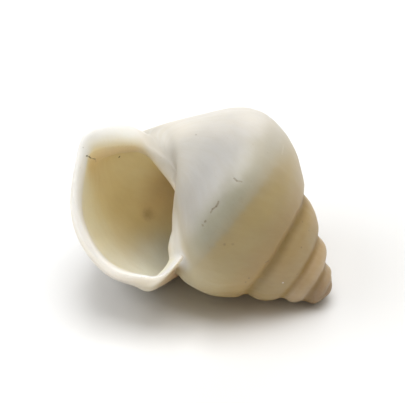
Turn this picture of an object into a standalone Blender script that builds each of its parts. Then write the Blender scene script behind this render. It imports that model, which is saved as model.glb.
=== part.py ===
"""Freshwater snail shell: a large viviparid, one right-handed coil that grew as a single piece.

The shell is the loft of one closed whorl section that turns about the coiling axis and grows by the same
factor each turn. The loft runs down the outside from the tip to the lip, over the rounded lip and back up
the inside, so it is one wall round an open hollow. Each whorl sinks into the one before it, as do the pillar
on the axis, the callus on the pillar and the blunt worn tip. One closed skin is then drawn over them all,
which joins them along the sutures.

The coil is built about the Z axis, tip up, and then laid on its back with the mouth up, as it comes to
rest. A point of the section is (radius, depth), depth being measured down the axis from the coil's pole.
Lengths below are in millimetres and angles in degrees. The object is built in metres.
"""
import math

import bpy
import bmesh
import numpy as np
from mathutils import Matrix, Vector

MM = 0.001

# Growth of the coil
WHORL_GROWTH = 1.556  # size of one whorl over that of the one before
TURNS = 3.95  # from the lip back to where the whorls run into the worn tip
EARLY_LOSS = 0.147  # how much smaller the first whorls are, against the size at the lip
EARLY_LOSS_START = -4.35
EARLY_LOSS_FADE = 2.5  # per turn
POLE_DROP = 2.85  # how far the tip is flattened below the coil's pole
STEPS_PER_TURN = 36
MOUTH_ANGLE = 33.5  # how far round the axis the lip stands in front of the shell's side

# Wall
WALL = 1.25
LIP_WALL_TURNS = 0.2  # the last part of the whorl, over which the wall changes to the lip's
GLAZE = 0.2  # thickness that the next whorl adds where it lies on this one
WALL_THINNING = 0.6  # power of the whorl's size that its wall follows
LUMEN_TURNS = 2.4  # how far back from the lip the hollow is open
INNER_ROUNDING = 3  # times that the inner curve of the wall is evened out
RIM_RINGS = 5
RIM_SETBACK = 0.022  # how far back round the whorl the lip's inner edge lies behind its outer one
RIM_BULGE = 0.75  # of half a circle

# Whorl section at the lip's size, in order round it
NEXT_SUTURE = (21.7, 37.6)  # where the next whorl joins on
SHOULDER = (17.3, 26.9)
UPPER_FLANK = (20.3, 31.7)
KEEL = (21.4, 41.9)
BASE_EDGE = (18.8, 45.9)
BASE = (13.2, 50.0)
BASE_FOOT = (5.6, 53.9)
PILLAR_FOOT = (0.25, 49.5)
PILLAR_TOP = (0.25, 41.0)
SECTION_SAMPLES = 4  # points on each span of the section's curve

# The lip: how it departs from that section, as (radius, depth, degrees ahead round the axis, wall)
LIP_TURNS = 0.33  # the last part of the whorl, over which it does so
LIP_SHIFT = 1.6  # how far its centre moves off the axis, back across it
LIP_CHANGE = {
    "suture": (0.6, 4.0, 6.0, 1.3),
    "shoulder": (3.0, 2.0, 7.0, 1.2),
    "upper_flank": (1.0, -0.6, -1.5, 1.6),
    "next_suture": (0.9, -2.6, -8.0, 1.6),
    "keel": (0.2, -0.7, -8.0, 1.6),
    "base_edge": (-1.0, 1.9, -2.5, 1.7),
    "base": (-1.1, 2.0, 10.0, 1.9),
    "base_foot": (3.3, -1.4, 23.0, 1.9),
    "pillar_foot": (0.5, -1.5, 15.0, 2.6),
    "pillar_top": (0.0, 0.6, 0.0, 2.0),
    "parietal_foot": (0.0, 0.8, 4.0, 1.25),
    "parietal_low": (0.0, 0.0, 4.0, 1.25),
    "parietal_high": (0.4, 1.2, 8.0, 1.25),
}

# Worn tip: a flattened ball on the axis
TIP_DEPTH = 4.3
TIP_RADIUS = 3.75
TIP_HEIGHT = 3.5

# Pillar: a rod on the axis, on which the whorls' inner sides meet
PILLAR_RADIUS = 0.6
PILLAR_TOP_DEPTH = 2.0
PILLAR_END_DEPTH = 41.0

# Callus: an egg of glaze on the pillar, behind the lip's inner corner
CALLUS_FROM = (-1.1, 1.7, -43.4)
CALLUS_TO = (-0.4, 0.5, -34.6)
CALLUS_RADIUS = 1.15

# One skin over the joined shapes
VOXEL = 0.3
SMOOTHING_STEPS = 4
FACES_KEPT = 0.0305

# Resting pose, on the back of the last whorl and the side of the spire, with the mouth up to one side
FLOOR_SIDE = (0.609, 0.561, 0.560)  # the way that faces the floor, as the coil is built
REST_WEAR = 0.22  # how deep it is worn flat where it touches, without which it rolls


def smoothstep(x):
    x = min(max(x, 0.0), 1.0)
    return x * x * (3 - 2 * x)


def whorl_section():
    """The section's points by name, in order round it, at the lip's size."""
    into_wall = (WALL - GLAZE) * np.array([-0.55, -0.83])
    before = {
        "parietal_foot": np.array(BASE_FOOT) / WHORL_GROWTH + into_wall,
        "parietal_low": np.array(BASE) / WHORL_GROWTH + into_wall,
        "parietal_high": np.array(BASE_EDGE) / WHORL_GROWTH + into_wall,
    }
    return {
        "suture": np.array(NEXT_SUTURE) / WHORL_GROWTH,
        "shoulder": SHOULDER,
        "upper_flank": UPPER_FLANK,
        "next_suture": NEXT_SUTURE,
        "keel": KEEL,
        "base_edge": BASE_EDGE,
        "base": BASE,
        "base_foot": BASE_FOOT,
        "pillar_foot": PILLAR_FOOT,
        "pillar_top": PILLAR_TOP,
        **before,
    }


def slopes_at(points):
    """Slopes of the smooth closed curve through the points, at the points."""
    unit = np.eye(len(points))
    neighbours = 4 * unit + np.roll(unit, 1, 0) + np.roll(unit, -1, 0)
    return np.linalg.solve(neighbours, 3 * (np.roll(points, -1, 0) - np.roll(points, 1, 0)))


def closed_curve(points):
    """A smooth closed curve through the points, with SECTION_SAMPLES points on each span."""
    slopes = slopes_at(points)
    ahead = np.roll(points, -1, 0)
    slopes_ahead = np.roll(slopes, -1, 0)
    samples = []
    for u in np.arange(SECTION_SAMPLES) / SECTION_SAMPLES:
        start = (2 * u**3 - 3 * u**2 + 1) * points + (u**3 - 2 * u**2 + u) * slopes
        end = (3 * u**2 - 2 * u**3) * ahead + (u**3 - u**2) * slopes_ahead
        samples.append(start + end)
    return np.stack(samples, 1).reshape(-1, points.shape[1])


def whorl_size(turn):
    early_loss = EARLY_LOSS * math.exp(-EARLY_LOSS_FADE * (turn - EARLY_LOSS_START))
    return WHORL_GROWTH**turn - early_loss


def below_pole(depth):
    return depth - POLE_DROP * (1 - np.exp(-depth / POLE_DROP))


def ring(turn, inside=False):
    """The section at a turn as points in metres. Turn 0 is the lip, and -1 is one whorl before it."""
    section = whorl_section()
    change = np.array([LIP_CHANGE[name] for name in section])
    blend = smoothstep(1 + turn / LIP_TURNS)
    corners = whorl_size(turn) * np.array(list(section.values())) + blend * change[:, :2]
    if inside:
        along = slopes_at(corners)
        inward = np.stack([-along[:, 1], along[:, 0]], 1) / np.linalg.norm(along, axis=1)[:, None]
        corners += wall_at(turn, change[:, 3])[:, None] * inward
    outline = closed_curve(corners)
    for _ in range(INNER_ROUNDING if inside else 0):
        outline = (np.roll(outline, 1, 0) + 2 * outline + np.roll(outline, -1, 0)) / 4
    radius, depth = outline.T
    depth = below_pole(depth)
    ahead = closed_curve(change[:, 2:3])[:, 0]
    angle = np.radians(360 * turn + MOUTH_ANGLE + blend * ahead)
    shift = -blend * LIP_SHIFT
    mouth = math.radians(MOUTH_ANGLE)
    x = radius * np.cos(angle) + shift * math.cos(mouth)
    y = -radius * np.sin(angle) - shift * math.sin(mouth)
    return MM * np.stack([x, y, -depth], 1)


def wall_at(turn, lip_wall):
    blend = smoothstep(1 + turn / LIP_WALL_TURNS)
    return (1 - blend) * WALL * whorl_size(turn) ** WALL_THINNING + blend * lip_wall


def rim_rings():
    """Half rounds over the lip, from its outer edge to its inner one."""
    outer = ring(0.0)
    inner = ring(-RIM_SETBACK, inside=True)
    middle = (outer + inner) / 2
    half = (outer - inner) / 2
    forward = np.cross(np.roll(outer, -1, 0), outer).sum(0)
    bulge = RIM_BULGE * np.linalg.norm(half, axis=1)[:, None] * forward / np.linalg.norm(forward)
    angles = math.pi * np.arange(1, RIM_RINGS + 1) / (RIM_RINGS + 1)
    return [middle + half * math.cos(angle) + bulge * math.sin(angle) for angle in angles]


def shell_rings():
    outside = [ring(-turn) for turn in np.linspace(TURNS, 0, round(TURNS * STEPS_PER_TURN) + 1)]
    turns_in = np.linspace(RIM_SETBACK, LUMEN_TURNS, round(LUMEN_TURNS * STEPS_PER_TURN) + 1)
    inside = [ring(-turn, inside=True) for turn in turns_in]
    return outside + rim_rings() + inside


def loft(bm, rings):
    """Quads between neighbouring rings, and a cap on the first and the last."""
    loops = [[bm.verts.new(point) for point in points] for points in rings]
    for near, far in zip(loops, loops[1:]):
        for i in range(len(near)):
            j = (i + 1) % len(near)
            bm.faces.new((near[i], far[i], far[j], near[j]))
    bm.faces.new(loops[0])
    bm.faces.new(reversed(loops[-1]))


def new_object(name, bm, collection):
    mesh = bpy.data.meshes.new(name)
    bm.to_mesh(mesh)
    bm.free()
    obj = bpy.data.objects.new(name, mesh)
    collection.objects.link(obj)
    return obj


def make_shell(collection):
    """The whorls, tip, pillar and callus, which run through each other until they are given one skin."""
    bm = bmesh.new()
    loft(bm, shell_rings())
    add_tip(bm)
    add_pillar(bm)
    add_callus(bm)
    return new_object("shell", bm, collection)


def add_tip(bm):
    place = Matrix.Translation((0, 0, -MM * TIP_DEPTH)) @ Matrix.Diagonal((1, 1, TIP_HEIGHT / TIP_RADIUS, 1))
    bmesh.ops.create_uvsphere(bm, u_segments=20, v_segments=12, radius=MM * TIP_RADIUS, matrix=place)


def add_pillar(bm):
    length = PILLAR_END_DEPTH - PILLAR_TOP_DEPTH
    radius = MM * PILLAR_RADIUS
    place = Matrix.Translation((0, 0, -MM * (PILLAR_TOP_DEPTH + length / 2)))
    bmesh.ops.create_cone(
        bm, cap_ends=True, segments=12, radius1=radius, radius2=radius, depth=MM * length, matrix=place
    )


def add_callus(bm):
    start, end = MM * Vector(CALLUS_FROM), MM * Vector(CALLUS_TO)
    radius = MM * CALLUS_RADIUS
    stretch = Matrix.Diagonal((1, 1, (end - start).length / (2 * radius), 1))
    turn = (end - start).to_track_quat("Z", "Y").to_matrix().to_4x4()
    place = Matrix.Translation((start + end) / 2) @ turn @ stretch
    bmesh.ops.create_uvsphere(bm, u_segments=16, v_segments=10, radius=radius, matrix=place)


def skin(shell):
    """One closed skin over the joined shapes, with few enough faces."""
    remesh = shell.modifiers.new("one_skin", "REMESH")
    remesh.mode = "VOXEL"
    remesh.voxel_size = MM * VOXEL
    worn = shell.modifiers.new("worn_smooth", "SMOOTH")
    worn.iterations = SMOOTHING_STEPS
    decimate = shell.modifiers.new("fewer_faces", "DECIMATE")
    decimate.ratio = FACES_KEPT
    evaluated = shell.evaluated_get(bpy.context.evaluated_depsgraph_get())
    coarse = bpy.data.meshes.new_from_object(evaluated)
    shell.modifiers.clear()
    shell.data = coarse


def drop_specks(bm):
    """Decimating leaves a few pairs of faces back to back, on the same three points."""
    by_corners = {}
    for face in bm.faces:
        by_corners.setdefault(frozenset(face.verts), []).append(face)
    specks = [face for faces in by_corners.values() if len(faces) > 1 for face in faces]
    bmesh.ops.delete(bm, geom=specks, context="FACES")


def lie_down(bm):
    """Turns the coil into its resting pose, with its tip towards +X and its lowest face at Z = 0."""
    up = -Vector(FLOOR_SIDE).normalized()
    axis = Vector((0, 0, 1))
    ahead = (axis - axis.dot(up) * up).normalized()
    turn = Matrix((ahead, up.cross(ahead), up)).to_4x4()
    bmesh.ops.transform(bm, matrix=turn, verts=bm.verts)
    floor = min(vert.co.z for vert in bm.verts) + MM * REST_WEAR
    for vert in bm.verts:
        vert.co.z = max(vert.co.z, floor)
    middle = Vector()
    for axis_index in range(2):
        places = [vert.co[axis_index] for vert in bm.verts]
        middle[axis_index] = (min(places) + max(places)) / 2
    middle.z = floor
    bmesh.ops.translate(bm, verts=bm.verts, vec=-middle)


def finish_mesh(mesh):
    bm = bmesh.new()
    bm.from_mesh(mesh)
    drop_specks(bm)
    lie_down(bm)
    bmesh.ops.dissolve_degenerate(bm, dist=MM * 0.002, edges=bm.edges)
    bmesh.ops.triangulate(bm, faces=bm.faces)
    bm.to_mesh(mesh)
    bm.free()
    mesh.shade_smooth()


def ivory():
    material = bpy.data.materials.new("worn_shell")
    material.use_nodes = True
    surface = material.node_tree.nodes["Principled BSDF"]
    surface.inputs["Base Color"].default_value = (0.72, 0.64, 0.50, 1)
    surface.inputs["Roughness"].default_value = 0.45
    surface.inputs["Metallic"].default_value = 0.0
    return material


def main():
    for obj in list(bpy.data.objects):
        bpy.data.objects.remove(obj)
    collection = bpy.data.collections.new("freshwater_snail_shell")
    bpy.context.scene.collection.children.link(collection)
    shell = make_shell(collection)
    skin(shell)
    finish_mesh(shell.data)
    shell.data.materials.clear()
    shell.data.materials.append(ivory())


main()
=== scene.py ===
"""Freshwater snail shell: the fine surface, its finish and the studio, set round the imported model.

The coil is modelled as it grew. One closed whorl section is extruded, turned about the coiling axis and
enlarged, ring after ring, from the tip to the mouth and back inside. The mouth is then drawn out into its
lip, and one closed skin joins the whorls along their sutures. The corners along the sutures and by the lip
are eased, growth lines, dents, folds and chips are worked into the skin, and the shell is laid down as the
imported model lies.

The coil is built about the Z axis, tip up. A point of the section is (radius, depth), depth being measured
down the axis from the coil's pole. Lengths of the coil are in millimetres, and the object is in metres.
"""
import math
from typing import NamedTuple

import bmesh
import bpy
import numpy as np
from bpy.props import FloatProperty, FloatVectorProperty, IntProperty, PointerProperty
from mathutils import Matrix, Vector, noise
from mathutils.bvhtree import BVHTree
from mathutils.kdtree import KDTree


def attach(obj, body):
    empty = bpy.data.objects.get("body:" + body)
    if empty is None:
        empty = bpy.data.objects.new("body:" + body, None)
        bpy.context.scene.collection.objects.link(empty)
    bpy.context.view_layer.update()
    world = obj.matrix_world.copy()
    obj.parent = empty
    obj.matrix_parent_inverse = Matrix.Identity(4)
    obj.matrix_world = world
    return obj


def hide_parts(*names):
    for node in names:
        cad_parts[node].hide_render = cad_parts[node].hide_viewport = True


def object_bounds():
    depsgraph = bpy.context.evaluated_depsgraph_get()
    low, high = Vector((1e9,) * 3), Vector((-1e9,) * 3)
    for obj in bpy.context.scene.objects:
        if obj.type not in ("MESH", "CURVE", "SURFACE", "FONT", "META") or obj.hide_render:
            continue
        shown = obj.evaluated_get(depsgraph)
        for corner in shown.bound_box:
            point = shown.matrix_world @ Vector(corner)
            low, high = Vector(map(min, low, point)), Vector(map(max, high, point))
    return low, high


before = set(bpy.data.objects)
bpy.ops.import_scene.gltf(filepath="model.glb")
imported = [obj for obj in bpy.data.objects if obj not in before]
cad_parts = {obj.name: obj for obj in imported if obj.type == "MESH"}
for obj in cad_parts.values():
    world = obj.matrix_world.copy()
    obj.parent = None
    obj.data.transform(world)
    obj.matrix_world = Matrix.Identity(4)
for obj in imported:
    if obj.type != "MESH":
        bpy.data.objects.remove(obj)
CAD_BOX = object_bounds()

bl_info = {
    "name": "Freshwater Snail Shell",
    "version": (1, 0, 0),
    "blender": (4, 5, 0),
    "location": "3D View > Sidebar > Shell",
    "description": "Models an empty freshwater snail shell and a plain studio round it",
    "category": "Add Mesh",
}

MM = 0.001
TURN = 2 * math.pi

# Whorl section at the lip's size, in order round it, as (radius, depth). The points that depend on the
# whorl before are worked out from it.
NEXT_SUTURE = (21.7, 37.6)
BASE_EDGE = (18.8, 45.9)
BASE = (13.2, 50.0)
BASE_FOOT = (5.6, 53.9)
SECTION = {
    "suture": None,
    "shoulder": (17.3, 26.9),
    "upper_flank": (20.3, 31.7),
    "next_suture": NEXT_SUTURE,
    "keel": (21.4, 41.9),
    "base_edge": BASE_EDGE,
    "base": BASE,
    "base_foot": BASE_FOOT,
    "pillar_foot": (0.25, 49.5),
    "pillar_top": (0.25, 41.0),
    "parietal_foot": None,
    "parietal_low": None,
    "parietal_high": None,
}
PARIETAL_INTO_WALL = (-0.55, -0.83)  # the way from the surface of the whorl before into its wall
PLACES = {name: place for place, name in enumerate(SECTION)}  # a point's place round the section

# How the lip departs from that section, as (radius, depth, degrees ahead round the axis, its own wall)
LIP_CHANGE = {
    "suture": (0.6, 4.0, 6.0, 1.3),
    "shoulder": (3.0, 2.0, 7.0, 1.2),
    "upper_flank": (1.0, -0.6, -1.5, 1.6),
    "next_suture": (0.9, -2.6, -8.0, 1.6),
    "keel": (0.4, -0.5, -8.0, 1.6),
    "base_edge": (-0.9, 2.0, -2.5, 1.7),
    "base": (-1.1, 2.0, 10.0, 1.9),
    "base_foot": (3.3, -1.4, 23.0, 1.9),
    "pillar_foot": (0.5, -1.5, 15.0, 3.1),
    "pillar_top": (0.0, 0.6, 0.0, 2.45),
    "parietal_foot": (0.0, 0.8, 4.0, 1.5),
    "parietal_low": (0.0, 0.0, 4.0, 1.35),
    "parietal_high": (0.4, 1.2, 8.0, 1.8),
}
LIP_TURNS = 0.33  # the last part of the whorl, over which the lip is drawn out
RIM_SETBACK = 0.042  # how far back round the whorl the lip's inner edge lies behind its outer one
RIM_BULGE = 0.6  # of half a circle
LIP_SHIFT = 1.6  # how far the lip's centre moves off the axis, back across it

EARLY_LOSS = 0.147  # how much smaller the first whorls are, against the size at the lip
EARLY_LOSS_START = -4.35
EARLY_LOSS_FADE = 2.5  # per turn

TIP_DEPTH = 4.3  # the worn tip is a flattened ball on the axis
TIP_RADIUS = 3.75
TIP_HEIGHT = 3.5
PILLAR_RADIUS = 0.6  # and the pillar a rod on the axis, on which the whorls' inner sides meet
PILLAR_TOP_DEPTH = 2.0
PILLAR_END_DEPTH = 41.0
CALLUS_FROM = (-1.1, 1.7, -43.4)  # the callus is an egg of glaze behind the lip's inner corner
CALLUS_TO = (-0.4, 0.5, -34.6)
CALLUS_RADIUS = 1.15

SECTION_SAMPLES = 8  # points on each span of the section
LINE_POINTS = 120  # on each line of relief
INNER_ROUNDING = 12  # times that the inner curve of the wall is evened out
STEPS_PER_TURN = 60
RIM_RINGS = 7
SKIN_SMOOTHING = 4
GLAZE = 0.2  # thickness that the next whorl adds where it lies on this one
LUMEN_TURNS = 2.4  # how far back from the lip the hollow is open
FLOOR_SIDE = (0.609, 0.561, 0.560)  # the way that faces the floor, as the coil is built
REST_WEAR = 0.22  # how deep the shell is worn flat where it touches

# Where the lip's ends run into the body, as (x, y, z) on the standing coil, in millimetres
LIP_FOOT_LINE = (
    (9.6, -6.6, -27.2),
    (10.2, -8.0, -26.1),
    (10.3, -9.0, -25.4),
    (11.3, -7.0, -24.8),
    (12.5, -3.9, -24.1),
    (13.4, 3.5, -22.5),
)
LIP_HEAD_LINE = (
    (-2.3, 2.2, -41.0),
    (-2.0, 0.9, -39.5),
    (-1.3, 0.1, -38.3),
    (-1.0, -0.3, -36.5),
    (-0.3, -0.9, -34.4),
)
CALLUS_END_LINE = ((-1.3, 1.6, -43.3), (-0.8, 1.2, -42.8), (-0.1, 0.8, -42.6), (0.5, 0.5, -43.3))
JOIN_WIDTH = 1.5  # millimetres over which they are run together
SUTURE_JOIN_WIDTH = 1.2
JOIN_SMOOTHING = 70
LEAST_JOIN_SHARE = 0.02  # points that would be smoothed less than this are left alone
LIP_CORNER_PLACES = (0.0, 1.8)  # from where to where the lip's outer edge is evened out, by the suture
LIP_CORNER_RING = 1  # of the rings over the rim, the one along that edge
LIP_CORNER_WIDTH = 1.5

# Relief worked into the skin, in millimetres. Lines on the skin are (x, y, z) on the standing coil.
RIM_FADE = 0.2  # of the way over the rim, in which the relief of either side fades out
SUTURE_DEPTH = 0.3
SUTURE_WIDTH = 1.1
SUTURE_START = 0.02  # how far behind the lip the channel starts, in turns
SUTURE_FADE = 0.1
COVER_PLACE = 2.92  # where the line that the next whorl would cover runs round the section, at COVER_TURN
COVER_TURN = -0.82
COVER_CLIMB = 3.1  # how fast it climbs towards the suture, in places per turn
GLAZE_STEP = 0.08  # of the last whorl's base over its flank, along that line
GLAZE_EDGE = 0.2  # width of that step, in places round the section
GLAZE_START = 0.3  # how far behind the lip the step starts, and where it ends, in turns
GLAZE_FADE = 0.2
GLAZE_END = 1.0
GLAZE_END_FADE = 0.04
FOLD_LINE = (
    (-0.34, -0.58, -39.2),
    (-0.34, -0.59, -38.2),
    (-0.37, -0.62, -37.4),
    (-0.40, -0.67, -36.6),
    (-0.27, -0.80, -35.4),
    (0.0, -1.0, -34.2),
)
FOLD_HEIGHT = 0.18
FOLD_WIDTH = 0.35
FILLED_LINE = (
    (-2.9, 1.8, -40.2),
    (-2.9, 0.9, -39.4),
    (-2.2, 0.0, -38.2),
    (-1.6, -0.4, -37.1),
    (-0.9, -0.6, -35.9),
    (-0.3, -0.9, -34.9),
    (0.2, -0.8, -34.2),
)
FILLING = 0.35  # of glaze in the corner between the lip and the body
FILLING_WIDTH = 0.9
CHIPPED_LINE = ((0.35, -0.5, -37.4), (0.7, -0.6, -36.3), (1.1, -0.85, -34.7), (1.5, -1.1, -33.6))
CHIP_DEPTH = 0.15
CHIP_WIDTH = 0.45
CHIP_SIZE = 0.7
CREASE_TURN = -0.176  # where the lip's thickening ends inside
CREASE_DEPTH = 0.08
CREASE_WIDTH = 0.006  # in turns
# Growth lines, as waves per turn, their height, and where the first one starts, in waves
GROWTH_WAVES = (
    (5.3, 0.04, 0.1),
    (13.1, 0.015, 0.6),
    (31.0, 0.012, 0.3),
    (53.0, 0.008, 0.8),
)
GROWTH_UNEVENNESS = 0.15  # of a wave
GROWTH_SPELLS = 3  # per turn, in which growth was quicker and slower
GROWTH_END = 0.5  # how far before the foot of the pillar the growth lines end, in places
GROWTH_END_FADE = 2
DENTS = ((5.0, 0.07), (1.8, 0.03))  # size and depth

MARK_STRAY = 0.6  # how far the marks stray from their straight lines, in millimetres
MARK_STRAYS = 600  # per metre
MARK_UNEVENNESS = 1.0  # most that a mark's edge is uneven by, in millimetres
SOFT_MARK_RADIUS = 0.5  # wider marks fade from their middle on
MARK_CORE = 0.45  # and narrower ones from this share of their radius

# Finish. The first three are scales of the noises that vary its colours, per metre.
CLOUDS = 110
MOTTLING = 480
GRIT = 2600
STREAKS_PER_TURN = 55
STREAKS_PER_PLACE = 0.8
STREAK_TINT = (0.90, 0.86, 0.78)
GRIT_TINT = (0.72, 0.64, 0.50)
BUMP_STRENGTH = 0.25
BUMP_HEIGHT = 0.12  # millimetres
GLOW_DEPTH = 4.2  # millimetres that light spreads below the surface
GLOW_BY_COLOUR = (1.0, 0.95, 0.88)

# Studio, in metres
CAMERA_AIM = (-0.00141, -0.00006, 0.00058)  # from the middle of the shell's box
SENSOR_WIDTH = 36  # millimetres
NEAREST_SEEN = 0.01
FLOOR_SIZE = 3.0
FLOOR_COLOUR = (0.85, 0.86, 0.87, 1.0)
FLOOR_ROUGHNESS = 0.7
ROOM_COLOUR = (1.0, 0.93, 0.8, 1.0)
SOFTBOX_SIZE = 0.4
# The soft lights' places, the settings of their power, and their tints
SOFTBOXES = {
    "overhead_softbox": ((0.0, 0.02, 0.65), "key_power", (1.0, 1.0, 1.0)),
    "left_softbox": ((-0.40, -0.15, 0.42), "left_power", (0.99, 0.99, 1.0)),
    "low_softbox": ((-0.32, -0.52, 0.14), "low_power", (1.0, 0.92, 0.78)),
    "back_softbox": ((-0.12, 0.58, 0.34), "back_power", (1.0, 1.0, 1.0)),
    "right_softbox": ((0.38, 0.05, 0.5), "right_power", (1.0, 0.93, 0.82)),
}


class Mark(NamedTuple):
    """A speck, a stain or a scratch, at one spot or from one to another.

    A spot is (turn, place, inside), and inside is 0 on the outside and 1 in the hollow.
    """

    spots: tuple
    radius: float  # in millimetres
    strength: float
    tone: str = "dirt"  # one of the finish's colours


MARKS = {
    "speck_on_base_1": Mark(((-0.881, 4.376, 0),), 0.30, 0.6),
    "speck_on_base_2": Mark(((-0.890, 4.361, 0),), 0.27, 0.4),
    "speck_on_base_3": Mark(((-0.678, 6.363, 0),), 0.22, 0.4),
    "speck_on_flank_1": Mark(((-0.891, 2.820, 0),), 0.30, 0.3),
    "speck_on_flank_2": Mark(((-0.881, 2.564, 0),), 0.30, 0.22),
    "speck_by_suture_1": Mark(((-0.934, 0.905, 0),), 0.24, 0.7),
    "speck_by_suture_2": Mark(((-0.950, 0.918, 0),), 0.22, 0.6),
    "speck_on_spire_1": Mark(((-1.784, 1.793, 0),), 0.2, 0.4),
    "speck_on_spire_2": Mark(((-1.727, 1.840, 0),), 0.2, 0.3),
    "speck_on_spire_3": Mark(((-1.727, 2.505, 0),), 0.2, 0.3),
    "speck_on_spire_4": Mark(((-1.858, 0.726, 0),), 0.22, 0.4),
    "speck_by_lip": Mark(((-0.017, 0.239, 0),), 0.22, 0.7),
    "stain_by_lip": Mark(((-0.051, 0.215, 0),), 1.4, 0.5, "suture_brown"),
    "speck_in_mouth": Mark(((-0.260, 6.451, 1),), 0.27, 0.9),
    "speck_on_lip_1": Mark(((0.0, 6.175, 0.344),), 0.20, 0.3),
    "speck_on_lip_2": Mark(((0.0, 5.637, 0.383),), 0.20, 0.25),
    "hook_on_base_1": Mark(((-0.791, 4.218, 0), (-0.792, 4.061, 0)), 0.22, 0.5),
    "hook_on_base_2": Mark(((-0.792, 4.061, 0), (-0.788, 3.780, 0)), 0.16, 0.35),
    "scratch_on_base_1": Mark(((-0.839, 4.349, 0), (-0.848, 4.315, 0)), 0.22, 0.55),
    "scratch_on_base_2": Mark(((-0.848, 4.315, 0), (-0.856, 4.383, 0)), 0.17, 0.55),
    "scratch_on_base_3": Mark(((-0.856, 4.383, 0), (-0.862, 4.362, 0)), 0.19, 0.45),
    "scratch_by_suture": Mark(((-0.879, 0.62, 0), (-0.872, 0.50, 0)), 0.16, 0.7),
    "crack_in_lip_1": Mark(((0.0, 6.074, 0.612), (-0.062, 6.667, 1)), 0.16, 0.85),
    "crack_in_lip_2": Mark(((-0.062, 6.667, 1), (-0.095, 6.934, 1)), 0.16, 0.8),
    "crack_in_lip_3": Mark(((-0.095, 6.934, 1), (-0.130, 6.84, 1)), 0.10, 0.35),
    "stain_in_hollow": Mark(((-0.257, 3.33, 1),), 1.8, 0.9, "deepest_brown"),
    "stain_on_spire": Mark(((-2.881, 2.017, 0),), 3.2, 0.4, "suture_brown"),
    "brown_tip": Mark(((-3.95, 0.0, 0),), 6.8, 0.95, "tip_brown"),
    "smudge_on_base_1": Mark(((-0.814, 4.576, 0),), 1.0, 0.10),
    "smudge_on_base_2": Mark(((-0.799, 4.451, 0),), 0.9, 0.06),
    "smudge_on_flank": Mark(((-0.813, 3.337, 0),), 0.6, 0.08),
    "chalk_on_spire": Mark(((-1.908, 1.426, 0),), 0.22, 0.6, "rim_white"),
    "chalk_on_shoulder": Mark(((-0.690, 2.60, 0), (-0.668, 2.66, 0)), 0.2, 0.12, "rim_white"),
}


class ShellForm(bpy.types.PropertyGroup):
    whorl_growth: FloatProperty(
        name="Whorl Growth",
        description="Size of one whorl over that of the one before",
        default=1.556,
        min=1.3,
        max=2.2,
    )
    turns: FloatProperty(
        name="Turns",
        description="Whorls from the lip back to where they run into the worn tip",
        default=3.95,
        min=2.5,
        max=5.0,
    )
    mouth_angle: FloatProperty(
        name="Mouth Angle",
        description="How far round the axis the lip stands in front of the shell's side",
        default=math.radians(33.5),
        subtype="ANGLE",
    )
    wall: FloatProperty(
        name="Wall",
        description="Thickness of the last whorl's wall behind the lip",
        default=1.25 * MM,
        unit="LENGTH",
    )
    tip_flattening: FloatProperty(
        name="Tip Flattening",
        description="How far the tip is flattened below the coil's pole",
        default=2.85 * MM,
        unit="LENGTH",
    )
    grain: FloatProperty(
        name="Grain",
        description="Edge of the cells that the closed skin is drawn from",
        default=0.27 * MM,
        unit="LENGTH",
        precision=5,
    )
    triangles: IntProperty(
        name="Triangles",
        description="Most triangles that the finished skin may have",
        default=190000,
    )


def smoothstep(x):
    x = np.clip(x, 0.0, 1.0)
    return x * x * (3 - 2 * x)


def in_mm(length):
    return length / MM


def whorl_size(form, turn):
    """Size of the section at a turn, against the lip's. Turn 0 is the lip, and -1 one whorl before it."""
    early_loss = EARLY_LOSS * math.exp(-EARLY_LOSS_FADE * (turn - EARLY_LOSS_START))
    return form.whorl_growth**turn - early_loss


def whorl_section(form):
    """The section's points in order round it, at the lip's size."""
    into_wall = (in_mm(form.wall) - GLAZE) * np.array(PARIETAL_INTO_WALL)
    before = {
        "suture": np.array(NEXT_SUTURE) / form.whorl_growth,
        "parietal_foot": np.array(BASE_FOOT) / form.whorl_growth + into_wall,
        "parietal_low": np.array(BASE) / form.whorl_growth + into_wall,
        "parietal_high": np.array(BASE_EDGE) / form.whorl_growth + into_wall,
    }
    return [before.get(name, point) for name, point in SECTION.items()]


def slopes_at(points):
    """Slopes of the smooth closed curve through the points, at the points."""
    unit = np.eye(len(points))
    neighbours = 4 * unit + np.roll(unit, 1, 0) + np.roll(unit, -1, 0)
    return np.linalg.solve(neighbours, 3 * (np.roll(points, -1, 0) - np.roll(points, 1, 0)))


def closed_curve(points):
    """A smooth closed curve through the points, with SECTION_SAMPLES points on each span."""
    points = np.array(points, float)
    slopes = slopes_at(points)
    ahead = np.roll(points, -1, 0)
    slopes_ahead = np.roll(slopes, -1, 0)
    samples = []
    for u in np.arange(SECTION_SAMPLES) / SECTION_SAMPLES:
        start = (2 * u**3 - 3 * u**2 + 1) * points + (u**3 - 2 * u**2 + u) * slopes
        end = (3 * u**2 - 2 * u**3) * ahead + (u**3 - u**2) * slopes_ahead
        samples.append(start + end)
    return np.stack(samples, 1).reshape(-1, points.shape[1])


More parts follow.
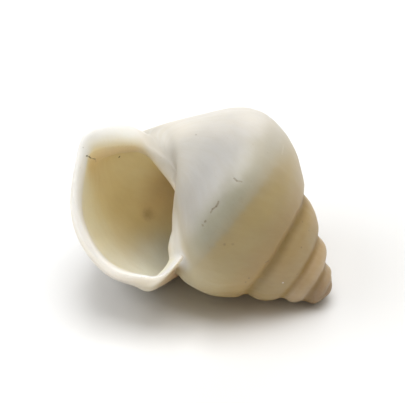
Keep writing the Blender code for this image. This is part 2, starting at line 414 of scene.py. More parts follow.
def ring(form, turn, inside=False, drawn_out=True):
    """The section at a turn as points in metres, drawn out where it nears the lip."""
    change = np.array([LIP_CHANGE[name] for name in SECTION])
    blend = smoothstep(1 + turn / LIP_TURNS) if drawn_out else 0.0
    size = whorl_size(form, turn)
    corners = size * np.array(whorl_section(form)) + blend * change[:, :2]
    if inside:
        along = slopes_at(corners)
        inward = np.stack([-along[:, 1], along[:, 0]], 1) / np.linalg.norm(along, axis=1)[:, None]
        wall = (1 - blend) * in_mm(form.wall) * size + blend * change[:, 3]
        corners += wall[:, None] * inward
    outline = closed_curve(corners)
    for _ in range(INNER_ROUNDING if inside else 0):
        outline = (np.roll(outline, 1, 0) + 2 * outline + np.roll(outline, -1, 0)) / 4
    radius, depth = outline.T
    ahead = closed_curve(change[:, 2:3])[:, 0]
    angle = TURN * turn + form.mouth_angle + blend * np.radians(ahead)
    shift = -blend * LIP_SHIFT
    x = radius * np.cos(angle) + shift * math.cos(form.mouth_angle)
    y = -radius * np.sin(angle) - shift * math.sin(form.mouth_angle)
    return MM * np.stack([x, y, -depth], 1)


def rim_rings(form):
    """Half rounds over the lip, from its outer edge to its inner one."""
    outer = ring(form, 0.0)
    inner = ring(form, -RIM_SETBACK, inside=True)
    middle = (outer + inner) / 2
    half = (outer - inner) / 2
    forward = np.cross(np.roll(outer, -1, 0), outer).sum(0)
    bulge = RIM_BULGE * np.linalg.norm(half, axis=1)[:, None] * forward / np.linalg.norm(forward)
    angles = math.pi * np.arange(1, RIM_RINGS + 1) / (RIM_RINGS + 1)
    return [middle + half * math.cos(angle) + bulge * math.sin(angle) for angle in angles]


def flattened(form, points):
    """The points with the coil's pole flattened to a blunt tip."""
    depth = -points[:, 2]
    drop = form.tip_flattening
    moved = points.copy()
    moved[:, 2] = -(depth - drop * (1 - np.exp(-depth / drop)))
    return moved


def points_of(mesh):
    points = np.empty(len(mesh.vertices) * 3)
    mesh.vertices.foreach_get("co", points)
    return points.reshape(-1, 3)


def move_points(mesh, points):
    mesh.vertices.foreach_set("co", np.ascontiguousarray(points, float).ravel())
    mesh.update()


def place_end(coil, points):
    """Moves the ring that was extruded last, while in edit mode."""
    bm = bmesh.from_edit_mesh(coil.data)
    bm.verts.ensure_lookup_table()
    for vert, point in zip(bm.verts[-len(points):], points):
        vert.co = point
    bmesh.update_edit_mesh(coil.data)


def grow(form, turns):
    """Extrudes the open end ring by ring, turned and enlarged about the coil's pole, as the snail grew."""
    for before, after in zip(turns, turns[1:]):
        growth = whorl_size(form, after) / whorl_size(form, before)
        bpy.ops.mesh.extrude_region_move()
        bpy.ops.transform.rotate(value=TURN * (after - before), orient_axis="Z", center_override=(0, 0, 0))
        bpy.ops.transform.resize(value=(growth, growth, growth), center_override=(0, 0, 0))


class Coil:
    """The whorls as one tube, from the tip to the lip, round its rim and back down inside."""

    def __init__(self, form):
        self.form = form
        self.out = np.linspace(-form.turns, 0, round(form.turns * STEPS_PER_TURN) + 1)
        self.back = np.linspace(-RIM_SETBACK, -LUMEN_TURNS, round(LUMEN_TURNS * STEPS_PER_TURN) + 1)
        self.turns = np.concatenate([self.out, np.zeros(RIM_RINGS), self.back])
        over_rim = np.arange(1, RIM_RINGS + 1) / (RIM_RINGS + 1)
        self.inside = np.concatenate([np.zeros(len(self.out)), over_rim, np.ones(len(self.back))])
        self.per_ring = len(SECTION) * SECTION_SAMPLES
        self.piece = self.extrude()
        self.draw_out_lip()
        self.flatten_tip()

    def extrude(self):
        bpy.ops.object.select_all(action="DESELECT")
        bpy.ops.mesh.primitive_circle_add(vertices=self.per_ring, radius=MM, fill_type="NGON")
        piece = bpy.context.object
        move_points(piece.data, ring(self.form, self.out[0]))
        bpy.ops.object.mode_set(mode="EDIT")
        bpy.ops.mesh.select_all(action="SELECT")
        grow(self.form, self.out)
        for _ in range(RIM_RINGS + 1):
            bpy.ops.mesh.extrude_region_move()
        place_end(piece, ring(self.form, self.back[0], inside=True, drawn_out=False))
        grow(self.form, self.back)
        bpy.ops.object.mode_set(mode="OBJECT")
        return piece

    def draw_out_lip(self):
        rings = points_of(self.piece.data).reshape(-1, self.per_ring, 3)
        for place, (turn, inside) in enumerate(zip(self.turns, self.inside)):
            if turn > -LIP_TURNS:
                rings[place] = ring(self.form, turn, inside > 0)
        first = len(self.out)
        rings[first:first + RIM_RINGS] = rim_rings(self.form)
        move_points(self.piece.data, rings.reshape(-1, 3))

    def flatten_tip(self):
        self.points = flattened(self.form, points_of(self.piece.data))
        move_points(self.piece.data, self.points)

    def lookup(self, points):
        """The turn, place round the section and inside of the nearest part of the coil to each point."""
        rings = self.points.reshape(-1, self.per_ring, 3)
        count = len(rings)
        here, ahead = np.meshgrid(np.arange(count - 1), np.arange(self.per_ring), indexing="ij")
        corner = here.ravel() * self.per_ring + ahead.ravel()
        beside = here.ravel() * self.per_ring + (ahead.ravel() + 1) % self.per_ring
        faces = np.stack([corner, beside, beside + self.per_ring, corner + self.per_ring], 1)
        tree = BVHTree.FromPolygons(self.points.tolist(), faces.tolist())
        found = [tree.find_nearest(Vector(point)) for point in points]
        spot = np.array([hit[0] for hit in found])
        face = faces[[hit[2] for hit in found]]
        start = self.points[face[:, 0]]
        round_way = self.points[face[:, 1]] - start
        turn_way = self.points[face[:, 3]] - start
        step = spot - start
        share_round = along_share(step, round_way)
        share_turn = along_share(step, turn_way)
        row = face[:, 0] // self.per_ring
        turn = self.turns[row] + share_turn * (self.turns[row + 1] - self.turns[row])
        inside = self.inside[row] + share_turn * (self.inside[row + 1] - self.inside[row])
        place = (face[:, 0] % self.per_ring + share_round) / SECTION_SAMPLES
        return turn, place, inside

    def lip_line(self, over_rim=RIM_RINGS // 2):
        """One of the rings over the rim, from its outer edge on. The middle one is the crest of the lip."""
        first = (len(self.out) + over_rim) * self.per_ring
        return self.points[first:first + self.per_ring]

    def spot(self, turn, place, inside):
        """The point of the coil at a turn and place, on its outer side (0), rim or inner side (1)."""
        way = self.inside + self.turns * (1 - 2 * self.inside)
        row = np.interp(inside + turn * (1 - 2 * inside), way, range(len(way)))
        column = place * SECTION_SAMPLES
        rings = self.points.reshape(-1, self.per_ring, 3)
        ends = [self.along_ring(ring, column) for ring in rings[int(row):int(row) + 2]]
        return ends[0] + (row % 1) * (ends[-1] - ends[0])

    def along_ring(self, ring, column):
        here = ring[int(column) % self.per_ring]
        ahead = ring[(int(column) + 1) % self.per_ring]
        return here + (column % 1) * (ahead - here)


def along_share(step, way):
    return np.clip((step * way).sum(1) / np.maximum((way**2).sum(1), 1e-18), 0, 1)


def add_tip_pillar_and_callus():
    bpy.ops.mesh.primitive_uv_sphere_add(
        segments=48, ring_count=24, radius=MM * TIP_RADIUS, location=(0, 0, -MM * TIP_DEPTH)
    )
    tip = bpy.context.object
    tip.scale.z = TIP_HEIGHT / TIP_RADIUS
    length = PILLAR_END_DEPTH - PILLAR_TOP_DEPTH
    bpy.ops.mesh.primitive_cylinder_add(
        vertices=24,
        radius=MM * PILLAR_RADIUS,
        depth=MM * length,
        location=(0, 0, -MM * (PILLAR_TOP_DEPTH + length / 2)),
    )
    pillar = bpy.context.object
    start, end = MM * Vector(CALLUS_FROM), MM * Vector(CALLUS_TO)
    bpy.ops.mesh.primitive_uv_sphere_add(
        segments=32, ring_count=16, radius=MM * CALLUS_RADIUS, location=(start + end) / 2
    )
    callus = bpy.context.object
    callus.scale.z = (end - start).length / (2 * MM * CALLUS_RADIUS)
    callus.rotation_euler = (end - start).to_track_quat("Z", "Y").to_euler()
    return [tip, pillar, callus]


def apply_modifier(piece, kind, **settings):
    modifier = piece.modifiers.new(kind.lower(), kind)
    for name, value in settings.items():
        setattr(modifier, name, value)
    bpy.ops.object.modifier_apply(modifier=modifier.name)


def draw_skin(form, coil):
    """One closed skin over the whorls, the tip, the pillar and the callus, which run through each other."""
    others = add_tip_pillar_and_callus()
    bpy.ops.object.select_all(action="DESELECT")
    for part in [coil.piece, *others]:
        part.select_set(True)
    bpy.context.view_layer.objects.active = coil.piece
    bpy.ops.object.join()
    bpy.ops.object.transform_apply(location=True, rotation=True, scale=True)
    bpy.ops.object.mode_set(mode="EDIT")
    bpy.ops.mesh.select_all(action="SELECT")
    bpy.ops.mesh.normals_make_consistent(inside=False)
    bpy.ops.object.mode_set(mode="OBJECT")
    apply_modifier(coil.piece, "REMESH", mode="VOXEL", voxel_size=form.grain)
    apply_modifier(coil.piece, "SMOOTH", iterations=SKIN_SMOOTHING)
    quads = len(coil.piece.data.polygons)
    apply_modifier(coil.piece, "DECIMATE", ratio=min(1.0, form.triangles / (2 * quads)))
    return coil.piece


def run_together(form, coil, shell):
    """Smooths the hollow corners along the sutures and by the lip's ends, and the lip's outer corner."""
    points = points_of(shell.data)
    group = shell.vertex_groups.new(name="join")
    lines = (LIP_FOOT_LINE, LIP_HEAD_LINE, CALLUS_END_LINE)
    to_ends = np.min([distances_to(fine_line(line), points) for line in lines], 0)
    to_suture = distances_to(suture_line(form), points)
    shares = np.maximum(hump(to_ends, JOIN_WIDTH), hump(to_suture, SUTURE_JOIN_WIDTH))
    first, last = (round(place * SECTION_SAMPLES) for place in LIP_CORNER_PLACES)
    to_corner = distances_to(coil.lip_line(LIP_CORNER_RING)[first:last + 1], points)
    shares = np.maximum(shares, hump(to_corner, LIP_CORNER_WIDTH))
    for index, share in enumerate(shares):
        if share > LEAST_JOIN_SHARE:
            group.add([index], share, "REPLACE")
    apply_modifier(shell, "SMOOTH", iterations=JOIN_SMOOTHING, vertex_group=group.name)
    shell.vertex_groups.clear()


def lie_down(shell):
    """Turns the coil onto its back, with its tip towards +X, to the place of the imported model."""
    up = -Vector(FLOOR_SIDE).normalized()
    axis = Vector((0, 0, 1))
    ahead = (axis - axis.dot(up) * up).normalized()
    turned = np.array(Matrix((ahead, up.cross(ahead), up)))
    points = points_of(shell.data) @ turned.T
    floor = points[:, 2].min() + MM * REST_WEAR
    points[:, 2] = np.maximum(points[:, 2], floor)
    low, high = (np.array(corner) for corner in CAD_BOX)
    middle = (points.min(0) + points.max(0)) / 2
    middle[2] = floor
    target = (low + high) / 2
    target[2] = low[2]
    move_points(shell.data, points - middle + target)
    return lambda spot: Vector(turned @ spot - middle + target)


def ahead_of_turn(place):
    """How far ahead round the axis the lip's edge runs at a place round the section, in turns."""
    leads = [change[2] / 360 for change in LIP_CHANGE.values()]
    return np.interp(place, range(len(leads) + 1), [*leads, leads[0]])


def distances_to(line, points):
    """Millimetres from each point to the nearest point of a line."""
    tree = KDTree(len(line))
    for index, spot in enumerate(line):
        tree.insert(spot, index)
    tree.balance()
    return np.array([tree.find(point)[2] for point in points]) / MM


def fine_line(corners):
    """A close row of points along a line through corners that are given in millimetres."""
    corners = MM * np.array(corners)
    share = np.linspace(0, len(corners) - 1, LINE_POINTS)
    return np.stack([np.interp(share, range(len(corners)), axis) for axis in corners.T], 1)


def hump(distance, width):
    return np.exp(-((distance / width) ** 2))


def suture_line(form):
    turns = np.arange(-form.turns, 0, 1 / (2 * STEPS_PER_TURN))
    line = np.array([ring(form, turn)[0] for turn in turns])
    return flattened(form, line)


def work_relief(form, shell, turn, place, inside):
    """Moves the skin in and out for its sutures, growth lines, dents, folds and chips.

    Returns what the finish needs: the age of each point, how far it is from the suture, and how far it lies
    past the line that the next whorl would cover.
    """
    points = points_of(shell.data)
    outside = 1 - smoothstep(inside / RIM_FADE)
    within = smoothstep((inside - (1 - RIM_FADE)) / RIM_FADE)
    growth = turn - (1 - smoothstep(1 + turn / LIP_TURNS)) * ahead_of_turn(place)
    suture = distances_to(suture_line(form), points)
    off_lip = smoothstep((-turn - SUTURE_START) / SUTURE_FADE)
    height = -SUTURE_DEPTH * hump(suture, SUTURE_WIDTH) * outside * off_lip
    last_whorl = smoothstep((turn + GLAZE_END) / GLAZE_END_FADE)
    last_whorl *= smoothstep((-turn - GLAZE_START) / GLAZE_FADE)
    cover = place - COVER_PLACE + COVER_CLIMB * (turn - COVER_TURN)
    glaze = smoothstep((cover + GLAZE_EDGE) / (2 * GLAZE_EDGE))
    height += GLAZE_STEP * (glaze - 0.5) * last_whorl * outside
    open_side = outside * smoothstep((PLACES["pillar_foot"] - GROWTH_END - place) / GROWTH_END_FADE)
    uneven = GROWTH_UNEVENNESS * np.sin(TURN * growth * GROWTH_SPELLS)
    for waves, tall, start in GROWTH_WAVES:
        height += tall * np.sin(TURN * (waves * growth + start + uneven)) * open_side
    for size, deep in DENTS:
        height += deep * np.array([noise.noise(Vector(point / (MM * size))) for point in points])
    height += FOLD_HEIGHT * hump(distances_to(fine_line(FOLD_LINE), points), FOLD_WIDTH)
    height += FILLING * hump(distances_to(fine_line(FILLED_LINE), points), FILLING_WIDTH)
    ragged = np.array([noise.noise(Vector(point / (CHIP_SIZE * MM))) for point in points])
    height += CHIP_DEPTH * ragged * hump(distances_to(fine_line(CHIPPED_LINE), points), CHIP_WIDTH)
    height -= CREASE_DEPTH * hump(turn - CREASE_TURN, CREASE_WIDTH) * within
    move_points(shell.data, points + MM * height[:, None] * vertex_normals(shell.data))
    return growth, suture, cover


def store(shell, name, values):
    attribute = shell.data.attributes.new(name, "FLOAT", "POINT")
    attribute.data.foreach_set("value", np.ascontiguousarray(values, np.float32))


def vertex_normals(mesh):
    normals = np.empty(len(mesh.vertices) * 3, np.float32)
    mesh.vertex_normals.foreach_get("vector", normals)
    return normals.reshape(-1, 3)


def place_marks(shell, coil, lay):
    """Keeps the ends of each mark on the shell under the mark's name, on the skin as the shell lies."""
    for name, mark in MARKS.items():
        spots = [shell.closest_point_on_mesh(lay(coil.spot(*spot)))[1] for spot in mark.spots]
        shell[name] = [length for spot in spots for length in spot]


def make_shell(form):
    coil = Coil(form)
    shell = draw_skin(form, coil)
    shell.name = "snail_shell"
    shell.data.name = "snail_shell"
    run_together(form, coil, shell)
    turn, place, inside = coil.lookup(points_of(shell.data))
    lip = distances_to(coil.lip_line(), points_of(shell.data))
    head = distances_to(fine_line(LIP_HEAD_LINE), points_of(shell.data))
    growth, suture, cover = work_relief(form, shell, turn, place, inside)
    lay = lie_down(shell)
    place_marks(shell, coil, lay)
    fields = {
        "turn": turn,
        "place": place,
        "inside": inside,
        "growth": growth,
        "suture": suture,
        "cover": cover,
        "lip": lip,
        "head": head,
    }
    for name, values in fields.items():
        store(shell, name, values)
    bpy.ops.object.shade_smooth()
    return shell


def colour_setting(name, description, default):
    return FloatVectorProperty(
        name=name,
        description=description,
        subtype="COLOR",
        default=default,
        min=0.0,
        max=1.0,
    )


def power_setting(name, where, watts):
    return FloatProperty(name=name, description=f"Soft light {where}", unit="POWER", default=watts)


class ShellFinish(bpy.types.PropertyGroup):
    flank_tan: colour_setting(
        "Flank Tan",
        "Colour of the last whorl's flank, above the line that the next whorl would cover",
        (0.47, 0.36, 0.175),
    )
    shoulder_tan: colour_setting(
        "Shoulder Tan",
        "Browner colour of the flank's upper part, by the suture",
        (0.45, 0.305, 0.125),
    )
    edge_grey: colour_setting("Edge Grey", "Duller colour just below that line", (0.375, 0.36, 0.28))
    base_white: colour_setting("Base White", "Cool white of the last whorl's base", (0.485, 0.475, 0.455))
    # New white: partly the newest growth's paler colour, partly painted light on the last whorl's upper
    # side.
    new_white_and_painted_light: colour_setting(
        "New White",
        "Colour of the newest growth, towards the lip",
        (0.87, 0.80, 0.70),
    )
    callus_grey: colour_setting(
        "Callus Grey",
        "Colour of the thin glaze between the lip's ends",
        (0.61, 0.595, 0.55),
    )
    rim_white: colour_setting("Rim White", "Colour of the rounded lip", (0.97, 0.915, 0.84))
    spire_tan: colour_setting("Spire Tan", "Colour of the whorls before the last", (0.50, 0.345, 0.165))
    worn_spire: colour_setting(
        "Worn Spire",
        "Paler colour of the small whorls, where the surface is worn",
        (0.53, 0.42, 0.28),
    )
    tip_brown: colour_setting("Tip Brown", "Colour of the tip", (0.25, 0.15, 0.065))
    # Suture brown: partly a real stain, partly painted shade in the suture channels. The brown marks use it
    # too.
    suture_brown: colour_setting("Suture Brown", "Stain in the sutures", (0.36, 0.23, 0.07))
    mouth_cream: colour_setting("Mouth Cream", "Colour just inside the lip", (0.95, 0.86, 0.68))
    # Painted light on the hollow's floor, lifting the shade by the pillar.
    shelf_painted_light: colour_setting("Shelf Cream", "Colour of the hollow's floor", (1.0, 0.95, 0.73))
    # Hollow brown: the shell's own colour inside, darker inwards partly as painted shade. Outside, it also
    # tints the painted light by the lip's end.
    hollow_brown: colour_setting("Hollow Brown", "Colour deep in the mouth", (0.76, 0.64, 0.42))
    # Painted shade where the hollow turns out of sight. The real stain in the hollow uses the same brown.
    deepest_brown: colour_setting(
        "Deepest Brown",
        "Colour where the hollow turns out of sight",
        (0.47, 0.375, 0.215),
    )
    dirt: colour_setting("Dirt", "Colour of the specks and scratches", (0.16, 0.12, 0.07))
    roughness: FloatProperty(
        name="Roughness",
        description="Roughness of the worn surface",
        default=0.42,
        min=0.0,
        max=1.0,
        subtype="FACTOR",
    )


class Value:
    """A node's output that Python expressions can work on. Each operation adds its Math node."""

    def __init__(self, recipe, socket):
        self.recipe = recipe
        self.socket = socket

    def __add__(self, other):
        return self.recipe.math("ADD", self, other)

    def __sub__(self, other):
        return self.recipe.math("SUBTRACT", self, other)

    def __rsub__(self, other):
        return self.recipe.math("SUBTRACT", other, self)

    def __mul__(self, other):
        return self.recipe.math("MULTIPLY", self, other)

    __radd__ = __add__
    __rmul__ = __mul__


class Recipe:
    """The nodes of one material."""

    def __init__(self, name):
        self.material = bpy.data.materials.new(name)
        self.material.use_nodes = True
        self.tree = self.material.node_tree
        self.surface = self.tree.nodes["Principled BSDF"]

    def node(self, kind, settings=None, inputs=None, output=0):
        """A node of a kind, with its settings set first, then the values or links of its sockets."""
        node = self.tree.nodes.new(kind)
        for name, value in (settings or {}).items():
            setattr(node, name, value)
        self.feed(node, inputs or {})
        return Value(self, node.outputs[output])

    def feed(self, node, inputs):
        for name, value in inputs.items():
            if isinstance(value, Value):
                self.tree.links.new(value.socket, node.inputs[name])
            else:
                node.inputs[name].default_value = value

    def math(self, operation, *values):
        return self.node("ShaderNodeMath", {"operation": operation}, dict(enumerate(values)))

    def vector_math(self, operation, *vectors, output=0):
        inputs = dict(enumerate(vectors))
        return self.node("ShaderNodeVectorMath", {"operation": operation}, inputs, output)

    def attributes(self, *names):
        return [self.node("ShaderNodeAttribute", {"attribute_name": name}, output="Fac") for name in names]

    def between(self, value, low, high):
        """0 below low and 1 above high, smooth between them. With low above high it falls instead."""
        inputs = {"Value": value, "From Min": low, "From Max": high}
        return self.node("ShaderNodeMapRange", {"interpolation_type": "SMOOTHSTEP"}, inputs)

    def blend(self, share, under, over):
        inputs = {0: share, 6: colour(under), 7: colour(over)}
        return self.node("ShaderNodeMix", {"data_type": "RGBA"}, inputs, output=2)

    def darken(self, share, under, tint):
        inputs = {0: share, 6: colour(under), 7: colour(tint)}
        return self.node("ShaderNodeMix", {"data_type": "RGBA", "blend_type": "MULTIPLY"}, inputs, output=2)

    def noise(self, vector, scale, detail=2.0, roughness=0.5):
        inputs = {"Vector": vector, "Scale": scale, "Detail": detail, "Roughness": roughness}
        return self.node("ShaderNodeTexNoise", inputs=inputs)

    def distance_to_mark(self, where, ends):
        """From each point of the surface to a spot, or to the straight line between two."""
        if len(ends) == 1:
            return self.vector_math("DISTANCE", where, ends[0], output="Value")
        start, end = ends
        length = (end - start).length
        step = self.vector_math("SUBTRACT", where, start)
        along = self.vector_math("DOT_PRODUCT", step, (end - start) / length**2, output="Value")
        share = self.math("MINIMUM", self.math("MAXIMUM", along, 0.0), 1.0)
        inputs = {0: end - start, "Scale": share}
        nearest = self.node("ShaderNodeVectorMath", {"operation": "SCALE"}, inputs)
        return self.vector_math("DISTANCE", step, nearest, output="Value")


def colour(value):
    return value if isinstance(value, Value) else (*value, 1.0)


def add_marks(recipe, finish, shell, where, wander, tint):
    """Specks, scratches, stains and the hairline crack, each with an uneven edge."""
    strays = {"Vector": where, "Scale": MARK_STRAYS, "Detail": 2}
    stray = recipe.node("ShaderNodeTexNoise", inputs=strays, output="Color")
    stray = recipe.vector_math("SUBTRACT", stray, (0.5, 0.5, 0.5))
    where = recipe.vector_math("MULTIPLY_ADD", stray, (MARK_STRAY * MM,) * 3, where)
    for name, mark in MARKS.items():
        ends = [Vector(shell[name][first:first + 3]) for first in range(0, len(shell[name]), 3)]
        unevenness = min(mark.radius, MARK_UNEVENNESS) * MM
        distance = recipe.distance_to_mark(where, ends) + (wander - 0.5) * unevenness
        core = 0.0 if mark.radius > SOFT_MARK_RADIUS else MARK_CORE
        share = recipe.between(distance, mark.radius * MM, mark.radius * MM * core) * mark.strength
        tint = recipe.blend(share, tint, getattr(finish, mark.tone))
    return tint


def suture_stain_and_shade_share(recipe, cloud, mottle):
    """How strongly the sutures are darkened, further out on the older whorls: partly a real brown stain,
    partly painted shade in the channels.
    """
    suture, turn = recipe.attributes("suture", "turn")
    from_suture = suture * (1 + 1.2 * recipe.between(turn, -1.2, -3.0)) + (cloud - 0.5) * 0.8
    stain_and_painted_shade = recipe.between(from_suture, 2.5, 0.3) * recipe.between(turn, -0.04, -0.3)
    return stain_and_painted_shade * (0.6 + 0.4 * mottle)


def outer_tint(recipe, finish, cloud, mottle, stain_and_painted_shade):
    """The outside, from the flank over the line that the next whorl would cover to the base and pillar."""
    turn, place, inside, cover, lip = recipe.attributes("turn", "place", "inside", "cover", "lip")
    round_way = place + (cloud - 0.5) * 0.8 + (mottle - 0.5) * 0.25
    below = cover + (cloud - 0.5) * 0.25 + (mottle - 0.5) * 0.1
    flank = recipe.blend(recipe.between(round_way, 0.6, 2.2), finish.shoulder_tan, finish.flank_tan)
    # Paler towards the top of the last whorl: partly newer growth, partly painted light.
    flank = recipe.blend(recipe.between(turn, -0.82, -0.62) * 0.22, flank, finish.new_white_and_painted_light)
    crisp = recipe.between(turn, -0.68, -0.8) * 0.3
    edge = recipe.blend(recipe.between(turn, -0.84, -0.68) * 0.35, finish.edge_grey, finish.new_white_and_painted_light)
    edged = crisp * recipe.between(below, -0.12, 0.18) + (1 - crisp) * recipe.between(below, -0.5, 0.8)
    outer = recipe.blend(edged, flank, edge)
    outer = recipe.blend(recipe.between(below + (cloud - 0.5) * 0.6, 0.8, 2.4), outer, finish.base_white)
    outer = recipe.blend(recipe.between(round_way, 5.6, 7.2), outer, finish.callus_grey)
    older = recipe.blend(recipe.between(turn, -2.1, -3.3), finish.spire_tan, finish.worn_spire)
    outer = recipe.blend(recipe.between(turn, -1.15, -1.4), outer, older)
    # Newest growth paler, and partly painted light on the last whorl's upper side, which faces the lamps.
    newer_and_painted_light = recipe.between(turn + (cloud - 0.5) * 0.08, -0.75, -0.57)
    newer_and_painted_light = newer_and_painted_light * (1 - 0.35 * recipe.between(turn, -0.54, -0.36) * recipe.between(turn, -0.05, -0.15))
    outer = recipe.blend(newer_and_painted_light * (0.15 + 0.75 * recipe.between(place, 1.5, 4.8)), outer, finish.new_white_and_painted_light)
    # Paler patch before the lip's lower end: partly glaze over the whorl before, partly painted light
    # lifting the lip's shade there.
    glaze_and_painted_light = recipe.between(turn, -0.89, -1.02) * recipe.between(turn, -1.25, -1.1)
    glaze_and_painted_light = glaze_and_painted_light * recipe.between(place, 1.2, 3.4)
    outer = recipe.blend(glaze_and_painted_light * 0.75, outer, finish.hollow_brown)
    # Painted shade along the sutures, over a real brown stain.
    outer = recipe.blend(stain_and_painted_shade, outer, finish.suture_brown)
    to_rim = recipe.between(lip + (cloud - 0.5) * 2.0, 3.4, 0.9)
    tanned = recipe.between(place, 3.4, 2.0) * recipe.between(inside, 0.35, 0.05)
    return recipe.blend(to_rim * (1 - 0.65 * tanned), outer, finish.rim_white)


def inner_tint(recipe, finish, cloud):
    """The hollow, from the pale lip to its depth, darker inwards partly as painted shade, with painted
    light on its floor.
    """
    turn, place = recipe.attributes("turn", "place")
    roof = recipe.between(place, 5.0, 7.2)
    cream = recipe.between(turn - 0.08 * roof, 0.0, -0.10)
    inner = recipe.blend(cream, finish.rim_white, finish.mouth_cream)
    # Darker towards the depth of the hollow: partly the shell's own brown, partly painted shade.
    way_in = turn + (cloud - 0.5) * 0.05 + recipe.between(place, 3.5, 1.6) * 0.12 - 0.15 * roof
    inner = recipe.blend(recipe.between(way_in, -0.09, -0.25), inner, finish.hollow_brown)
    # Painted shade deepest in the hollow, where it turns out of sight.
    painted_deep_shade = recipe.between(turn, -0.23, -0.33) * recipe.between(place, 5.6, 3.6)
    inner = recipe.blend(painted_deep_shade, inner, finish.deepest_brown)
    # Painted light on the hollow's floor, lifting the shade by the pillar.
    painted_light_on_shelf = recipe.between(place, 2.8, 1.8) * recipe.between(turn, -0.255, -0.20)
    return recipe.blend(painted_light_on_shelf * 0.9, inner, finish.shelf_painted_light)


def shell_material(finish, shell):
    # Worn colours, with painted light and shade where marked below.
    recipe = Recipe("worn_shell")
    turn, place, inside, growth, head = recipe.attributes("turn", "place", "inside", "growth", "head")
    where = recipe.node("ShaderNodeTexCoord", output="Object")
    cloud = recipe.noise(where, CLOUDS, detail=3)
    mottle = recipe.noise(where, MOTTLING, detail=4, roughness=0.6)
    grit = recipe.noise(where, GRIT, detail=3, roughness=0.65)
    streaked = {"X": growth * STREAKS_PER_TURN, "Y": place * STREAKS_PER_PLACE, "Z": inside}
    along = recipe.node("ShaderNodeCombineXYZ", inputs=streaked)
    lines = recipe.noise(along, 1.0, detail=4, roughness=0.6)
    finer = recipe.noise(along, 4.0, detail=3, roughness=0.6)
    stain_and_painted_shade = suture_stain_and_shade_share(recipe, cloud, mottle)

    outer = outer_tint(recipe, finish, cloud, mottle, stain_and_painted_shade)
    inner = inner_tint(recipe, finish, cloud)
    tint = recipe.blend(recipe.between(inside, 0.45, 0.95), outer, inner)
    pillar_side = recipe.between(place, 9.3, 10.5) * recipe.between(turn, -0.3, -0.15)
    tint = recipe.blend(pillar_side * 0.8, tint, finish.rim_white)
    tint = recipe.blend(recipe.between(head, 5.0, 0.8) * 0.85, tint, finish.callus_grey)

    streaks = recipe.between(lines, 0.3, 0.7)
    faded = 0.35 + 0.3 * recipe.between(turn, -0.55, -0.4) * recipe.between(inside, 0.2, 0.0)
    tint = recipe.darken(faded * (1 - streaks), tint, STREAK_TINT)
    tint = recipe.darken(recipe.between(grit, 0.62, 0.78) * 0.35, tint, GRIT_TINT)
    tint = add_marks(recipe, finish, shell, where, grit, tint)

    fine = 0.5 * finer + 0.35 * mottle + 0.15 * grit
    bumps = {"Height": fine, "Strength": BUMP_STRENGTH, "Distance": BUMP_HEIGHT * MM}
    recipe.feed(
        recipe.surface,
        {
            "Base Color": tint,
            "Roughness": finish.roughness - 0.08 + 0.16 * mottle + 0.12 * stain_and_painted_shade,
            "Normal": recipe.node("ShaderNodeBump", inputs=bumps, output="Normal"),
            "Subsurface Weight": 1.0,
            "Subsurface Radius": GLOW_BY_COLOUR,
            "Subsurface Scale": GLOW_DEPTH * MM,
        },
    )
    return recipe.material


class StudioSetup(bpy.types.PropertyGroup):
    azimuth: FloatProperty(
        name="Azimuth",
        description="Way the camera looks, 0 along +Y and 90 along -X",
        subtype="ANGLE",
        default=math.radians(21.4),
    )
    elevation: FloatProperty(
        name="Elevation",
        description="Angle of the camera above the floor",
        subtype="ANGLE",
        default=math.radians(38.26),
    )
    distance: FloatProperty(
        name="Distance",
        description="From the camera to the shell",
        unit="LENGTH",
        default=276.7 * MM,
    )
    focal_length: FloatProperty(
        name="Focal Length",
        description="In millimetres, on a 36 mm sensor",
        default=147.26,
    )
    key_power: power_setting("Key Power", "overhead", 3.1)
    left_power: power_setting("Left Power", "high on the camera's left", 1.45)
    low_power: power_setting("Low Power", "low on the camera's left", 0.28)
    back_power: power_setting("Back Power", "behind the shell", 0.9)
    right_power: power_setting("Right Power", "high on the camera's right", 0.7)
    room: FloatProperty(
        name="Room",
        description="Brightness of the pale room all round",
        default=0.15,
    )


def view_direction(azimuth, elevation):
    """The way a camera looks at that azimuth and elevation."""
    level = math.cos(elevation)
    return Vector((-level * math.sin(azimuth), level * math.cos(azimuth), -math.sin(elevation)))


def add_camera(studio):
    middle = (CAD_BOX[0] + CAD_BOX[1]) / 2
    aim = middle + Vector(CAMERA_AIM)
    looking = view_direction(studio.azimuth, studio.elevation)
    bpy.ops.object.camera_add(location=aim - studio.distance * looking)
    camera = bpy.context.object
    camera.rotation_euler = looking.to_track_quat("-Z", "Y").to_euler()
    camera.data.lens = studio.focal_length
    camera.data.sensor_width = SENSOR_WIDTH
    camera.data.clip_start = NEAREST_SEEN
    bpy.context.scene.camera = camera


def add_softbox(name, place, power, tint):
    """A square soft light at a place round the shell, facing it."""
    bpy.ops.object.light_add(type="AREA", location=place)
    light = bpy.context.object
    light.name = name
    light.rotation_euler = (-Vector(place)).to_track_quat("-Z", "Y").to_euler()
    light.data.size = SOFTBOX_SIZE
    light.data.energy = power
    light.data.color = tint


def add_floor():
    bpy.ops.mesh.primitive_plane_add(size=FLOOR_SIZE, location=(0, 0, CAD_BOX[0].z))
    floor = bpy.context.object
    floor.name = "floor"
    recipe = Recipe("pale_floor")
    recipe.feed(recipe.surface, {"Base Color": FLOOR_COLOUR, "Roughness": FLOOR_ROUGHNESS})
    floor.data.materials.append(recipe.material)


def light_room(studio):
    world = bpy.data.worlds.new("pale_room")
    bpy.context.scene.world = world
    world.use_nodes = True
    background = world.node_tree.nodes["Background"]
    background.inputs["Color"].default_value = ROOM_COLOUR
    background.inputs["Strength"].default_value = studio.room


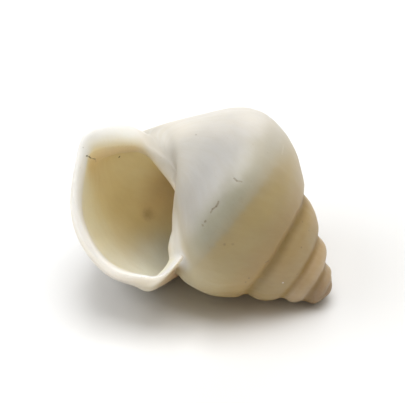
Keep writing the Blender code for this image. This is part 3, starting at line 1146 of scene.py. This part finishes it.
class MESH_OT_snail_shell(bpy.types.Operator):
    """Model the shell: its coil, lip, one closed skin and worn finish, with painted light and shade"""

    bl_idname = "mesh.snail_shell"
    bl_label = "Model Shell"

    def execute(self, context):
        shell = make_shell(context.scene.shell_form)
        shell.data.materials.clear()
        shell.data.materials.append(shell_material(context.scene.shell_finish, shell))
        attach(shell, "root")
        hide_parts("shell")
        return {"FINISHED"}


class SCENE_OT_shell_studio(bpy.types.Operator):
    """Set up the pale floor, the soft lights and the camera"""

    bl_idname = "scene.shell_studio"
    bl_label = "Set Up Studio"

    def execute(self, context):
        studio = context.scene.shell_studio
        add_floor()
        light_room(studio)
        for name, (place, power, tint) in SOFTBOXES.items():
            add_softbox(name, place, getattr(studio, power), tint)
        add_camera(studio)
        context.scene.view_settings.view_transform = "Standard"
        return {"FINISHED"}


class VIEW3D_PT_snail_shell(bpy.types.Panel):
    bl_label = "Freshwater Snail Shell"
    bl_space_type = "VIEW_3D"
    bl_region_type = "UI"
    bl_category = "Shell"

    def draw(self, context):
        layout = self.layout
        for settings in (context.scene.shell_form, context.scene.shell_finish, context.scene.shell_studio):
            box = layout.box()
            for name in settings.__annotations__:
                box.prop(settings, name)
        layout.operator("mesh.snail_shell")
        layout.operator("scene.shell_studio")


CLASSES = (
    ShellForm,
    ShellFinish,
    StudioSetup,
    MESH_OT_snail_shell,
    SCENE_OT_shell_studio,
    VIEW3D_PT_snail_shell,
)


def register():
    for cls in CLASSES:
        bpy.utils.register_class(cls)
    bpy.types.Scene.shell_form = PointerProperty(type=ShellForm)
    bpy.types.Scene.shell_finish = PointerProperty(type=ShellFinish)
    bpy.types.Scene.shell_studio = PointerProperty(type=StudioSetup)


def unregister():
    del bpy.types.Scene.shell_studio
    del bpy.types.Scene.shell_finish
    del bpy.types.Scene.shell_form
    for cls in reversed(CLASSES):
        bpy.utils.unregister_class(cls)


def main():
    register()
    bpy.ops.mesh.snail_shell()
    bpy.ops.scene.shell_studio()


if __name__ == "__main__":
    main()
